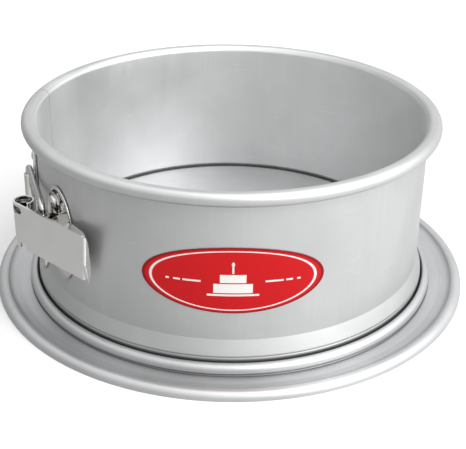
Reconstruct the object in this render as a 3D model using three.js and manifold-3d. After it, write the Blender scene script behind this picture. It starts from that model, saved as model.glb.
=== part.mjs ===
// Springform cake pan: a raised base plate, a split ring with a rolled rim, and a toggle latch.
// Millimetres, +Z up. The origin is the centre of the base at the height it stands on.
// Azimuths are in degrees from -Y (the front) towards -X (the latch side).

import * as THREE from 'three';
import { mergeVertices } from 'three/addons/utils/BufferGeometryUtils.js';
import Module from 'manifold-3d';

const wasm = await Module();
wasm.setup();

// ---- Driving dimensions -----------------------------------------------------------------
const TURN_SEGMENTS = 56;
const CLEARANCE = 0.3;

// Ring: inside diameter 8 in, rolled rim, flared foot.
const WALL_INNER = 101.6;
const WALL_SHEET = 1.2;
const RING_TOP = 94.3;
const RIM_CURL = 3.25;
const RIM_FLAT = 1.3;
const FLARE_TOP = 16.3;
const FLARE_BOTTOM = 8.5;
const FLARE_REACH = 3.1;
const LIP_BOTTOM = 2.6;
const WALL_OUTER = WALL_INNER + WALL_SHEET;

// The two ends of the ring butt at the rim; a plain tongue laps over the wall below the rim.
const SEAM_AZIMUTH = 101;
const SEAM_HALF_GAP = 0.35;
const TONGUE_END = 75;
const TONGUE_JOINT = 103;
const TONGUE_ROOT = 107;
const TONGUE_LOW = 18;
const TONGUE_HIGH = 86;
const TONGUE_SHEET = 0.8;
const TONGUE_INNER = WALL_OUTER + CLEARANCE;
const TONGUE_OUTER = TONGUE_INNER + TONGUE_SHEET;

// Base plate.
const BASE_SHEET = 1.1;
const BASE_RADIUS = 128.4;
const FLOOR_HEIGHT = 14.5;
const FLOOR_RADIUS = 100.9;
const FLOOR_CORNER = 1.5;
const SHOULDER_FOOT = 104.1;
const GROOVE_HEIGHT = 2.3;
const RIDGE_INNER = 106.4;
const RIDGE_CREST = 1.4;
const RIDGE_HEIGHT = 6.6;
const TROUGH_RADIUS = 110.8;
const TROUGH_WIDTH = 6.5;
const TROUGH_RISE = 1;
const RIM_FOLD = 3.6;
const RIM_HEIGHT = 4.2;

// Latch heights.
const LATCH_MIDDLE = 50;
const LEVER_HEIGHT = 24;
const LEVER_LOW = LATCH_MIDDLE - LEVER_HEIGHT / 2;
const LEVER_HIGH = LATCH_MIDDLE + LEVER_HEIGHT / 2;

// Lever, drawn in its own frame: x runs along the plate towards the curl, y points outwards.
const LEVER_AZIMUTH = 41.5;
const LEVER_FACE = 110.6;
const LEVER_SHEET = 1;
const LEVER_TIP = -7;
const TIP_CORNER = 1.2;
const TIP_LEAN = 2;
const FLAP_DEPTH = 3.4;
const FLAP_TOP = 61.6;
const FLAP_WAIST = 44;
const TOE_LOW = 34.2;
const TOE_WIDTH = 0.8;
const ARCH_TOP = 46.4;
const ARCH_FOOT = 36;
const ARCH_DEPTH = 2.4;
const CURL_RADIUS = 5.25;
const CURL_X = 43.9;
const CURL_Y = LEVER_FACE - CURL_RADIUS;
const FLANGE_SETBACK = -0.5;
const FLANGE_LENGTH = 15.5;
const FLANGE_WIDTH = 5;
const NOTCH_RADIUS = 1.9;
const UPPER_NOTCH_END = 2.4;
const UPPER_NOTCH_LENGTH = 3.8;
const UPPER_NOTCH_DROP = 3.4;
const LOWER_NOTCH_END = 4.4;
const LOWER_NOTCH_LENGTH = 1;
const LOWER_NOTCH_RISE = 1.2;
const BAR_X = 30.13;
const BAR_Y = 104.87;
const LUG_SHEET = 1.2;
const LUG_WALL = 1.3;
const LUG_OFFSET = 7.4;
const SLOT_TRAVEL = 2.9;
const SLOT_PLAY = 0.7;
const EAR_TIP = 7.2;
const EAR_FACE = 109.1;
const EAR_SHEET = 1.2;
const EAR_INSET = 1.6;
const EAR_LENGTH = 12.8;
const EAR_DEPTH = 2.7;
const EAR_ROOT_START = 13.5;
const EAR_ROOT_END = 21;
const WINDOW_PLAY = 0.8;

// Bail wire and the barrel that it turns in.
const WIRE_RADIUS = 1.7;
const WIRE_BEND = 4.5;
const BAIL_LOW = 28;
const BAIL_HIGH = 64.4;
const WIRE_END_GAP = 3;
const BARREL_AZIMUTH = 82.87;
const BARREL_DISTANCE = 107.79;
const BARREL_BORE = WIRE_RADIUS + CLEARANCE;
const BARREL_OUTER = BARREL_BORE + 0.7;
const BARREL_LENGTH = 26;
const BARREL_MIDDLE = 46.8;
const BARREL_WEB = 2.6;

// Bracket plates, rivets, hinge pin and label.
const PLATE_SHEET = 1;
const PLATE_HALF_WIDTH = 13.2;
const PLATE_HALF_HEIGHT = 25.6;
const PLATE_MIDDLE = 49;
const LEVER_BRACKET_AZIMUTH = 54;
const CATCH_BRACKET_AZIMUTH = 88;
const LEVER_RIVET_AZIMUTH = 56;
const CATCH_RIVET_AZIMUTH = 88;
const RIVET_SPREAD = 15.9;
const RIVET_HEAD = 2.9;
const RIVET_DOME = 1.9;
const RIVET_SHANK = 1.5;
const RIVET_TAIL_SHEET = 0.7;
const PIN_RADIUS = 3.85;
const PIN_WAIST = 2.5;
const PIN_SETBACK = 2.5;
const PIN_SOCKET_WALL = 1.4;
const PIN_SOCKET_DEPTH = 4;
const KNUCKLE_HEIGHT = 6;
const KNUCKLE_WEB = 4;
const LABEL_AZIMUTH = -0.9;
const LABEL_HALF_WIDTH = 43.3;
const LABEL_HALF_HEIGHT = 17.2;
const LABEL_MIDDLE = 48.5;
const LABEL_SHEET = 0.3;
const LABEL_GAP = 0.15;

// ---- Materials --------------------------------------------------------------------------
const finish = (color, roughness, metalness) =>
  new THREE.MeshStandardMaterial({ color, roughness, metalness });
const anodised = finish(0xb4b6b8, 0.42, 0.9);
const polished = finish(0xc9cac8, 0.14, 1);
const printed = finish(0xb3202a, 0.35, 0);

// ---- Geometry helpers -------------------------------------------------------------------
const radians = THREE.MathUtils.degToRad;

function polar(radius, azimuth) {
  const angle = radians(azimuth);
  return new THREE.Vector3(-radius * Math.sin(angle), -radius * Math.cos(angle), 0);
}

function signedVolume(geometry) {
  const p = geometry.attributes.position;
  const index = geometry.index.array;
  const [a, b, c] = [new THREE.Vector3(), new THREE.Vector3(), new THREE.Vector3()];
  let total = 0;
  for (let i = 0; i < index.length; i += 3) {
    a.fromBufferAttribute(p, index[i]);
    b.fromBufferAttribute(p, index[i + 1]);
    c.fromBufferAttribute(p, index[i + 2]);
    total += a.dot(b.cross(c));
  }
  return total / 6;
}

// A closed solid from a three.js geometry, with its faces turned outwards.
function solid(geometry) {
  const bare = geometry.clone();
  bare.deleteAttribute('normal');
  bare.deleteAttribute('uv');
  const merged = mergeVertices(bare, 1e-4);
  const triVerts = new Uint32Array(merged.index.array);
  if (signedVolume(merged) < 0) {
    for (let i = 0; i < triVerts.length; i += 3) {
      [triVerts[i], triVerts[i + 1]] = [triVerts[i + 1], triVerts[i]];
    }
  }
  const vertProperties = new Float32Array(merged.attributes.position.array);
  return new wasm.Manifold(new wasm.Mesh({ numProp: 3, vertProperties, triVerts }));
}

function join(...solids) {
  return solids.reduce((whole, next) => whole.add(next));
}

function named(name, body, material) {
  const { vertProperties, triVerts } = body.getMesh();
  const geometry = new THREE.BufferGeometry();
  geometry.setAttribute('position', new THREE.BufferAttribute(vertProperties, 3));
  geometry.setIndex(new THREE.BufferAttribute(triVerts, 1));
  geometry.computeVertexNormals();
  const mesh = new THREE.Mesh(geometry, material);
  mesh.name = name;
  return mesh;
}

// A turned solid about Z from a closed outline of (radius, height) points.
function turned(outline, segments = TURN_SEGMENTS) {
  const ring = new THREE.LatheGeometry([...outline, outline[0]], segments);
  return solid(ring.rotateX(Math.PI / 2));
}

// A solid cylinder or bar about Z, given by its radius and its two ends.
function post(radius, low, high, segments = 20) {
  const body = new THREE.CylinderGeometry(radius, radius, high - low, segments);
  return solid(body.rotateX(Math.PI / 2).translate(0, 0, (low + high) / 2));
}

// A flat outline in XY raised from one height to another.
function raised(points, low, high) {
  const body = new THREE.ExtrudeGeometry(new THREE.Shape(points), { depth: high - low, bevelEnabled: false });
  return solid(body.translate(0, 0, low));
}

const at = (x, y) => new THREE.Vector2(x, y);

function arc(x, y, radius, fromDegrees, toDegrees, steps) {
  const points = [];
  for (let i = 0; i <= steps; i += 1) {
    const angle = radians(fromDegrees + ((toDegrees - fromDegrees) * i) / steps);
    points.push(at(x + radius * Math.cos(angle), y + radius * Math.sin(angle)));
  }
  return points;
}

// A sheet of even thickness: the given line, and its copy offset to the right-hand side.
function sheet(line, thickness) {
  const offset = line.map((point, i) => {
    const before = line[Math.max(i - 1, 0)];
    const after = line[Math.min(i + 1, line.length - 1)];
    const arriving = (i ? point : after).clone().sub(i ? before : point).normalize();
    const leaving = (i < line.length - 1 ? after : point).clone()
      .sub(i < line.length - 1 ? point : before).normalize();
    const mitre = arriving.clone().add(leaving).normalize();
    const reach = thickness / Math.max(mitre.dot(leaving), 0.5);
    return at(point.x + mitre.y * reach, point.y - mitre.x * reach);
  });
  return [...line, ...offset.reverse()];
}

// A pie slice about Z between two azimuths, used to cut rings.
function slice(fromAzimuth, toAzimuth, radius, low, high) {
  const steps = Math.max(2, Math.ceil((toAzimuth - fromAzimuth) / 3));
  const points = [at(0, 0)];
  for (let i = 0; i <= steps; i += 1) {
    const p = polar(radius, fromAzimuth + ((toAzimuth - fromAzimuth) * i) / steps);
    points.push(at(p.x, p.y));
  }
  return raised(points, low, high);
}

// A plain cylindrical band between two radii, heights and azimuths.
function band(inner, outer, low, high, fromAzimuth, toAzimuth) {
  const hoop = turned([at(inner, low), at(outer, low), at(outer, high), at(inner, high)], 180);
  return hoop.intersect(slice(fromAzimuth, toAzimuth, outer * 1.2, low - 1, high + 1));
}

// Moves a solid built on the +Z axis so that +Z points radially outwards at an azimuth.
function pointOutwards(body, azimuth, height) {
  const place = new THREE.Matrix4().makeRotationZ(radians(270 - azimuth));
  place.multiply(new THREE.Matrix4().makeRotationY(Math.PI / 2));
  place.premultiply(new THREE.Matrix4().makeTranslation(0, 0, height));
  return body.transform(place.elements);
}

// A shell piece that follows the wall: an ellipse seen from outside, cut from a band.
function curvedEllipse(inner, sheetThickness, azimuth, middle, halfWidth, halfHeight) {
  const outline = arc(0, 0, 1, 0, 360, 40).slice(1).map((p) => at(p.x * halfHeight, p.y * halfWidth));
  const prism = pointOutwards(raised(outline, inner - 12, inner + 12), azimuth, middle);
  const span = THREE.MathUtils.radToDeg(halfWidth / inner) + 3;
  return band(inner, inner + sheetThickness, middle - halfHeight - 1, middle + halfHeight + 1,
    azimuth - span, azimuth + span).intersect(prism);
}

// ---- Base plate -------------------------------------------------------------------------
function makeBasePlate() {
  const crestX = RIDGE_INNER + RIDGE_CREST;
  const crestZ = RIDGE_HEIGHT - RIDGE_CREST;
  const foldX = BASE_RADIUS - RIM_FOLD;
  const foldZ = RIM_HEIGHT - RIM_FOLD;
  const line = [
    at(0, FLOOR_HEIGHT),
    ...arc(FLOOR_RADIUS - FLOOR_CORNER, FLOOR_HEIGHT - FLOOR_CORNER, FLOOR_CORNER, 90, 15, 3),
    at(SHOULDER_FOOT, GROOVE_HEIGHT),
    at(RIDGE_INNER, GROOVE_HEIGHT),
    ...arc(crestX, crestZ, RIDGE_CREST, 180, 20, 5),
    at(TROUGH_RADIUS, BASE_SHEET),
    at(TROUGH_RADIUS + TROUGH_WIDTH, BASE_SHEET),
    at(foldX - RIM_FOLD, BASE_SHEET + TROUGH_RISE),
    ...arc(foldX, foldZ, RIM_FOLD, 130, 0, 6),
    at(BASE_RADIUS, 0),
  ];
  return named('base_plate', turned(sheet(line, BASE_SHEET)), anodised);
}

// ---- Ring -------------------------------------------------------------------------------
const rivetPair = (azimuth) => [1, -1].map((side) => [azimuth, LATCH_MIDDLE + side * RIVET_SPREAD]);
const leverRivetPlaces = rivetPair(LEVER_RIVET_AZIMUTH);
const catchRivetPlaces = rivetPair(CATCH_RIVET_AZIMUTH);

function ringOutline() {
  const curlZ = RING_TOP - RIM_CURL;
  const innerCurl = WALL_INNER + RIM_CURL;
  const line = [
    at(WALL_INNER + FLARE_REACH, LIP_BOTTOM),
    at(WALL_INNER + FLARE_REACH, FLARE_BOTTOM),
    at(WALL_INNER, FLARE_TOP),
    ...arc(innerCurl, curlZ, RIM_CURL, 180, 90, 4),
    ...arc(innerCurl + RIM_FLAT, curlZ, RIM_CURL, 90, -105, 8),
  ];
  return sheet(line, WALL_SHEET);
}

function rivetHole([azimuth, height], fromRadius = WALL_INNER / 2) {
  return pointOutwards(post(RIVET_SHANK + CLEARANCE, fromRadius, BASE_RADIUS), azimuth, height);
}

function makeRingBand() {
  const seam = slice(SEAM_AZIMUTH - SEAM_HALF_GAP, SEAM_AZIMUTH + SEAM_HALF_GAP,
    BASE_RADIUS, 0, RING_TOP + 1);
  const tongue = band(TONGUE_INNER, TONGUE_OUTER, TONGUE_LOW, TONGUE_HIGH, TONGUE_END, TONGUE_ROOT);
  const joint = band(WALL_INNER + WALL_SHEET / 2, TONGUE_OUTER, TONGUE_LOW, TONGUE_HIGH,
    TONGUE_JOINT, TONGUE_ROOT);
  const hoop = join(turned(ringOutline()).subtract(seam), tongue, joint);
  const holes = [
    ...leverRivetPlaces.map((place) => rivetHole(place)),
    ...catchRivetPlaces.map((place) => rivetHole(place, TONGUE_INNER - CLEARANCE / 2)),
  ];
  return named('ring_band', hoop.subtract(join(...holes)), anodised);
}

// ---- Latch brackets ---------------------------------------------------------------------
// The lever's own frame, turned so that its y axis points out at LEVER_AZIMUTH.
const leverFrame = new THREE.Matrix4().makeRotationZ(radians(180 - LEVER_AZIMUTH));
const fromLeverFrame = (body) => body.transform(leverFrame.elements);
const leverPoint = (x, y) => new THREE.Vector3(x, y, 0).applyMatrix4(leverFrame);
const hinge = leverPoint(CURL_X, CURL_Y);
const hingeRadius = Math.hypot(hinge.x, hinge.y);
const hingeAzimuth = THREE.MathUtils.radToDeg(Math.atan2(-hinge.x, -hinge.y));

function radialWeb(azimuth, fromRadius, toRadius, width, low, high) {
  const body = new THREE.BoxGeometry(high - low, width, toRadius - fromRadius);
  const standing = solid(body.translate(0, 0, (fromRadius + toRadius) / 2));
  return pointOutwards(standing, azimuth, (low + high) / 2);
}

// A small ear that stands out from the plate behind the closed lever and stops it.
function stopEar(low) {
  const rootRadius = WALL_OUTER + CLEARANCE + PLATE_SHEET / 2;
  const root = (x) => at(x, Math.sqrt(rootRadius ** 2 - x ** 2));
  const ear = [
    root(EAR_ROOT_END),
    root(EAR_ROOT_START),
    at(EAR_TIP, EAR_FACE - EAR_DEPTH),
    at(EAR_TIP, EAR_FACE),
    at(EAR_TIP + EAR_LENGTH, EAR_FACE),
  ];
  return fromLeverFrame(raised(ear, low, low + EAR_SHEET));
}

function makeLeverBracket() {
  const inner = WALL_OUTER + CLEARANCE;
  const outer = inner + PLATE_SHEET;
  const knuckleLow = LATCH_MIDDLE - KNUCKLE_HEIGHT / 2;
  const knuckleHigh = LATCH_MIDDLE + KNUCKLE_HEIGHT / 2;
  const plate = curvedEllipse(inner, PLATE_SHEET, LEVER_BRACKET_AZIMUTH, PLATE_MIDDLE,
    PLATE_HALF_WIDTH, PLATE_HALF_HEIGHT);
  const strap = band(inner, outer, knuckleLow, knuckleHigh, LEVER_BRACKET_AZIMUTH, hingeAzimuth + 2);
  const bore = PIN_WAIST + CLEARANCE;
  const web = radialWeb(hingeAzimuth, inner + CLEARANCE, hingeRadius - (bore + PIN_RADIUS) / 2,
    KNUCKLE_WEB, knuckleLow, knuckleHigh);
  const knuckle = post(PIN_RADIUS, knuckleLow, knuckleHigh)
    .subtract(post(bore, knuckleLow - 1, knuckleHigh + 1))
    .translate(hinge.x, hinge.y, 0);
  const ears = [stopEar(LEVER_HIGH - EAR_INSET - EAR_SHEET), stopEar(LEVER_LOW + EAR_INSET)];
  const body = join(plate, strap, web, knuckle, ...ears);
  const holes = leverRivetPlaces.map((spot) => rivetHole(spot));
  return named('lever_bracket', body.subtract(join(...holes)), polished);
}

function makeCatchBracket() {
  const inner = TONGUE_OUTER + CLEARANCE;
  const barrelLow = BARREL_MIDDLE - BARREL_LENGTH / 2;
  const barrelHigh = barrelLow + BARREL_LENGTH;
  const place = polar(BARREL_DISTANCE, BARREL_AZIMUTH);
  const plate = curvedEllipse(inner, PLATE_SHEET, CATCH_BRACKET_AZIMUTH, PLATE_MIDDLE,
    PLATE_HALF_WIDTH, PLATE_HALF_HEIGHT);
  const wallMiddle = (BARREL_BORE + BARREL_OUTER) / 2;
  const web = radialWeb(BARREL_AZIMUTH, inner + CLEARANCE, BARREL_DISTANCE - wallMiddle, BARREL_WEB,
    barrelLow + 1, barrelHigh - 1);
  const barrel = post(BARREL_OUTER, barrelLow, barrelHigh)
    .subtract(post(BARREL_BORE, barrelLow - 1, barrelHigh + 1))
    .translate(place.x, place.y, 0);
  const body = join(plate, web, barrel);
  const holes = catchRivetPlaces.map((spot) => rivetHole(spot));
  return named('catch_bracket', body.subtract(join(...holes)), polished);
}

// A domed rivet, turned about its own axis and then pointed outwards. Its tail is either a flat
// head inside the pan or flush with the inner face of the tongue.
function makeRivet(name, [azimuth, height], headStart, tailOutline) {
  const outline = [
    ...tailOutline,
    at(RIVET_SHANK, headStart),
    at(RIVET_HEAD, headStart),
    at(RIVET_HEAD * 0.9, headStart + RIVET_DOME * 0.5),
    at(RIVET_HEAD * 0.5, headStart + RIVET_DOME * 0.9),
    at(0, headStart + RIVET_DOME),
  ];
  return named(name, pointOutwards(turned(outline, 16), azimuth, height), polished);
}

function makeRivets() {
  const innerFace = WALL_INNER - CLEARANCE;
  const headedTail = [
    at(0, innerFace - RIVET_TAIL_SHEET),
    at(RIVET_HEAD, innerFace - RIVET_TAIL_SHEET),
    at(RIVET_HEAD, innerFace),
    at(RIVET_SHANK, innerFace),
  ];
  const flushTail = [at(0, TONGUE_INNER), at(RIVET_SHANK, TONGUE_INNER)];
  const leverHead = WALL_OUTER + PLATE_SHEET + 2 * CLEARANCE;
  const catchHead = TONGUE_OUTER + PLATE_SHEET + 2 * CLEARANCE;
  return ['upper', 'lower'].flatMap((level, i) => [
    makeRivet(`lever_rivet_${level}`, leverRivetPlaces[i], leverHead, headedTail),
    makeRivet(`catch_rivet_${level}`, catchRivetPlaces[i], catchHead, flushTail),
  ]);
}

// ---- Hinge pin --------------------------------------------------------------------------
function makeHingePin() {
  const waistHalf = KNUCKLE_HEIGHT / 2 + CLEARANCE;
  const low = LEVER_LOW + PIN_SETBACK;
  const high = LEVER_HIGH - PIN_SETBACK;
  const socket = PIN_RADIUS - PIN_SOCKET_WALL;
  const outline = [
    at(0, low + PIN_SOCKET_DEPTH),
    at(socket, low + PIN_SOCKET_DEPTH),
    at(socket, low),
    at(PIN_RADIUS, low),
    at(PIN_RADIUS, LATCH_MIDDLE - waistHalf),
    at(PIN_WAIST, LATCH_MIDDLE - waistHalf),
    at(PIN_WAIST, LATCH_MIDDLE + waistHalf),
    at(PIN_RADIUS, LATCH_MIDDLE + waistHalf),
    at(PIN_RADIUS, high),
    at(socket, high),
    at(socket, high - PIN_SOCKET_DEPTH),
    at(0, high - PIN_SOCKET_DEPTH),
  ];
  return named('hinge_pin', turned(outline, 24).translate(hinge.x, hinge.y, 0), polished);
}

// ---- Lever ------------------------------------------------------------------------------
// The bent sheet: returned flap, plate and curl. Its finger end leans out towards the top.
function leverSheet() {
  const cornerX = LEVER_TIP + TIP_CORNER;
  const line = [
    at(LEVER_TIP, LEVER_FACE - FLAP_DEPTH - 1),
    ...arc(cornerX, LEVER_FACE - TIP_CORNER, TIP_CORNER, 180, 90, 3),
    ...arc(CURL_X, CURL_Y, CURL_RADIUS, 90, -200, 16),
  ];
  const shape = new THREE.Shape(sheet(line, LEVER_SHEET));
  const body = new THREE.ExtrudeGeometry(shape, { depth: LEVER_HIGH - TOE_LOW, bevelEnabled: false });
  const p = body.translate(0, 0, TOE_LOW).attributes.position;
  for (let i = 0; i < p.count; i += 1) {
    const lean = ((p.getZ(i) - LATCH_MIDDLE) / LEVER_HEIGHT) * TIP_LEAN;
    p.setX(i, p.getX(i) < 0 ? p.getX(i) - lean : p.getX(i));
  }
  return solid(body);
}

// A flat outline of (height, y) points raised along x.
function raisedAlongX(points, fromX, toX) {
  const place = new THREE.Matrix4().makeBasis(
    new THREE.Vector3(0, 0, 1), new THREE.Vector3(0, 1, 0), new THREE.Vector3(-1, 0, 0));
  return raised(points, -toX, -fromX).transform(place.elements);
}

// A quarter of an ellipse whose middle lies on the lever's outer face, as (height, y) points.
function quarterEllipse(height, reach, depth, steps) {
  return arc(0, 0, 1, 0, 90, steps)
    .map((p) => at(height + reach * p.x, LEVER_FACE - depth * p.y));
}

// What is kept of the bent sheet: the plate, and a flap that tapers above and ends in a toe beside
// an arch below.
function leverEnvelope() {
  const past = LEVER_FACE + 1;
  const flapSide = LEVER_TIP + TIP_CORNER;
  const flap = [
    at(FLAP_TOP, past),
    ...quarterEllipse(FLAP_WAIST, FLAP_TOP - FLAP_WAIST, FLAP_DEPTH, 7),
    at(TOE_LOW, LEVER_FACE - ARCH_DEPTH - TOE_WIDTH),
    at(TOE_LOW, LEVER_FACE - ARCH_DEPTH),
    ...quarterEllipse(ARCH_FOOT, ARCH_TOP - ARCH_FOOT, ARCH_DEPTH, 6).reverse(),
    at(ARCH_TOP, past),
  ];
  const plate = [at(LEVER_LOW, 0), at(LEVER_LOW, past), at(LEVER_HIGH, past), at(LEVER_HIGH, 0)];
  const overlap = LEVER_SHEET / 5;
  return raisedAlongX(flap, 2 * LEVER_TIP, flapSide + overlap).add(raisedAlongX(plate, flapSide, 2 * CURL_X));
}

// Clears the wall side of the curl, so that the fixed knuckle can reach the pin as the lever turns.
function knuckleWindow() {
  const reach = CURL_RADIUS + WINDOW_PLAY;
  const half = KNUCKLE_HEIGHT / 2 + WINDOW_PLAY;
  const wedge = [at(CURL_X, CURL_Y), ...arc(CURL_X, CURL_Y, reach, 10, -205, 10)];
  return raised(wedge, LATCH_MIDDLE - half, LATCH_MIDDLE + half);
}

// A lug behind the plate, with a slot that the bail's bar slides in.
function bailLug(middle) {
  const bore = WIRE_RADIUS + SLOT_PLAY;
  const wall = bore + LUG_WALL;
  const back = LEVER_FACE - LEVER_SHEET / 2;
  const outline = [
    at(BAR_X - wall, back),
    ...arc(BAR_X, BAR_Y, wall, 180, 270, 5),
    ...arc(BAR_X + SLOT_TRAVEL, BAR_Y, wall, 270, 360, 5),
    at(BAR_X + SLOT_TRAVEL + wall, back),
  ];
  const slot = [
    ...arc(BAR_X, BAR_Y, bore, 90, 270, 8),
    ...arc(BAR_X + SLOT_TRAVEL, BAR_Y, bore, 270, 450, 8),
  ];
  const [low, high] = [middle - LUG_SHEET / 2, middle + LUG_SHEET / 2];
  return raised(outline, low, high).subtract(raised(slot, low - 1, high + 1));
}

// The flange bent inwards along the top edge at the finger end, widening away from the tip.
function topFlange() {
  const back = LEVER_FACE - LEVER_SHEET / 2;
  const start = LEVER_TIP + FLANGE_SETBACK;
  const reach = FLANGE_WIDTH - LEVER_SHEET / 2;
  const edge = [0, 0.25, 0.5, 0.75, 1].map((t) => at(start + FLANGE_LENGTH * t * t, back - reach * t));
  return raised([...edge, at(start + FLANGE_LENGTH, back)], LEVER_HIGH - LEVER_SHEET, LEVER_HIGH);
}

// A round-ended relief slot through the sheet where the curl begins, given by its two centres.
function reliefSlot(fromX, toX, height) {
  const outline = [
    ...arc(fromX, height, NOTCH_RADIUS, 90, 270, 8),
    ...arc(toX, height, NOTCH_RADIUS, 270, 450, 8),
  ];
  return raised(outline, -LEVER_FACE - 1, -LEVER_FACE + 3).rotate([90, 0, 0]);
}

function makeLever() {
  const upperEnd = CURL_X - UPPER_NOTCH_END;
  const lowerEnd = CURL_X - LOWER_NOTCH_END;
  const body = leverSheet()
    .intersect(leverEnvelope())
    .add(topFlange())
    .subtract(knuckleWindow())
    .subtract(reliefSlot(upperEnd, upperEnd + UPPER_NOTCH_LENGTH, LEVER_HIGH - UPPER_NOTCH_DROP))
    .subtract(reliefSlot(lowerEnd, lowerEnd + LOWER_NOTCH_LENGTH, LEVER_LOW + LOWER_NOTCH_RISE))
    .add(bailLug(LATCH_MIDDLE + LUG_OFFSET))
    .add(bailLug(LATCH_MIDDLE - LUG_OFFSET));
  return named('lever', fromLeverFrame(body), polished);
}

// ---- Bail -------------------------------------------------------------------------------
// One bent wire whose two ends meet inside the barrel of the catch bracket.
function makeBail() {
  const start = polar(BARREL_DISTANCE, BARREL_AZIMUTH);
  const reach = leverPoint(BAR_X, BAR_Y).sub(start);
  const length = reach.length();
  const along = reach.normalize();
  const ends = [BARREL_MIDDLE + WIRE_END_GAP / 2, BARREL_MIDDLE - WIRE_END_GAP / 2];
  const bendArc = (s, z, from, to) => arc(s, z, WIRE_BEND, from, to, 4);
  const flat = [
    at(0, ends[0]),
    ...bendArc(WIRE_BEND, BAIL_HIGH - WIRE_BEND, 180, 90),
    ...bendArc(length - WIRE_BEND, BAIL_HIGH - WIRE_BEND, 90, 0),
    ...bendArc(length - WIRE_BEND, BAIL_LOW + WIRE_BEND, 0, -90),
    ...bendArc(WIRE_BEND, BAIL_LOW + WIRE_BEND, -90, -180),
    at(0, ends[1]),
  ];
  const route = new THREE.CurvePath();
  const points = flat.map((p) => along.clone().multiplyScalar(p.x).add(start).setZ(p.y));
  for (let i = 1; i < points.length; i += 1) {
    route.add(new THREE.LineCurve3(points[i - 1], points[i]));
  }
  const section = new THREE.Shape(arc(0, 0, WIRE_RADIUS, 0, 360, 8).slice(1));
  const wire = new THREE.ExtrudeGeometry(section, { steps: 64, extrudePath: route, bevelEnabled: false });
  return named('bail_wire', solid(wire), polished);
}

// ---- Label ------------------------------------------------------------------------------
function makeLabel() {
  const body = curvedEllipse(WALL_OUTER + LABEL_GAP, LABEL_SHEET, LABEL_AZIMUTH, LABEL_MIDDLE,
    LABEL_HALF_WIDTH, LABEL_HALF_HEIGHT);
  return named('oval_label', body, printed);
}

// ---- Assembly ---------------------------------------------------------------------------
const pan = new THREE.Group();
pan.add(
  makeBasePlate(),
  makeRingBand(),
  makeLabel(),
  makeLeverBracket(),
  makeCatchBracket(),
  ...makeRivets(),
  makeHingePin(),
  makeLever(),
  makeBail(),
);

export default pan;
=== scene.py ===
"""A springform cake pan in satin anodised aluminium with a polished steel toggle latch.

Metres, +Z up, in the CAD model's frame. Azimuths are in degrees from -Y (the front) towards -X.
"""

import math

import bmesh
import bpy
from mathutils import Matrix, Vector


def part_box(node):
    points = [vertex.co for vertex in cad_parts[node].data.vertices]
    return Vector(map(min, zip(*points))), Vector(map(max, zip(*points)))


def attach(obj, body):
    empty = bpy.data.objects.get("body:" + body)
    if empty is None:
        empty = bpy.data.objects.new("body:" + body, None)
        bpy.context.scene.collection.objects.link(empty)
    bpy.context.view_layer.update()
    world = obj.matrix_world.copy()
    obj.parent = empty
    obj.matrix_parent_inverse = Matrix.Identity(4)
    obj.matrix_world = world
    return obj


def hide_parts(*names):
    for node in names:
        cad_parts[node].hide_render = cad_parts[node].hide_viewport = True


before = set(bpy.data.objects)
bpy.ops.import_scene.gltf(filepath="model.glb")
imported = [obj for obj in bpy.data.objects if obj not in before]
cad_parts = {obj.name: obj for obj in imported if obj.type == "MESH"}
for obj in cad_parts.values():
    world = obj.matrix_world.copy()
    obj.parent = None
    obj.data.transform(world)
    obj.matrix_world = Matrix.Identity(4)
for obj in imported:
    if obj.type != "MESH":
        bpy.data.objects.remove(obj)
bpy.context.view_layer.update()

MM = 0.001


# ---- Places taken from the frame --------------------------------------------------------
def low_z(node):
    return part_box(node)[0][2]


def high_z(node):
    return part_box(node)[1][2]


def middle_z(node):
    return (low_z(node) + high_z(node)) / 2


def half_height(node):
    return (high_z(node) - low_z(node)) / 2


RING_TOP = high_z("ring_band")
LIP_BOTTOM = low_z("ring_band")
FLOOR_HEIGHT = high_z("base_plate")
BASE_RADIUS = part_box("base_plate")[1][0]
TOE_LOW, LEVER_HIGH = low_z("lever"), high_z("lever")
BAIL_LOW, BAIL_HIGH = low_z("bail_wire"), high_z("bail_wire")
PIN_LOW, PIN_HIGH = low_z("hinge_pin"), high_z("hinge_pin")
PLATE_MIDDLE, PLATE_HALF_HEIGHT = middle_z("catch_bracket"), half_height("catch_bracket")
LABEL_MIDDLE, LABEL_HALF_HEIGHT = middle_z("oval_label"), half_height("oval_label")


# ---- Driving dimensions, as in the CAD model --------------------------------------------
FACE_GAP = 0.3 * MM

WALL_INNER = 101.6 * MM
WALL_SHEET = 1.2 * MM
WALL_OUTER = WALL_INNER + WALL_SHEET
SEAM_AZIMUTH = 101
SEAM_HALF_GAP = 0.1
TONGUE_INNER = WALL_OUTER + FACE_GAP
TONGUE_OUTER = TONGUE_INNER + 0.8 * MM
TONGUE_LOW, TONGUE_HIGH = 18 * MM, 86 * MM
TONGUE_END, TONGUE_ROOT = 75, 107
BASE_SHEET = 1.1 * MM

LATCH_MIDDLE = 50 * MM
LEVER_LOW = 2 * LATCH_MIDDLE - LEVER_HIGH
LEVER_AZIMUTH = 41.5
LEVER_FACE = 110.6 * MM
LEVER_SHEET = 1.0 * MM
LEVER_TIP = -7 * MM
TIP_CORNER = 1.2 * MM
TIP_LEAN = 2 * MM
FLAP_DEPTH = 3.4 * MM
FLAP_WAIST = 44 * MM
TOE_WIDTH = 0.8 * MM
ARCH_TOP, ARCH_FOOT, ARCH_DEPTH = 46.4 * MM, 36 * MM, 2.4 * MM
CURL_RADIUS = 5.25 * MM
CURL_X = 43.9 * MM
CURL_Y = LEVER_FACE - CURL_RADIUS

BAR_X, BAR_Y = 30.13 * MM, 104.87 * MM
WIRE_RADIUS = 1.7 * MM
BARREL_AZIMUTH = 82.87
BARREL_DISTANCE = 107.79 * MM
BARREL_MIDDLE = 46.8 * MM
BARREL_HALF_LENGTH = 13 * MM

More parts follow.
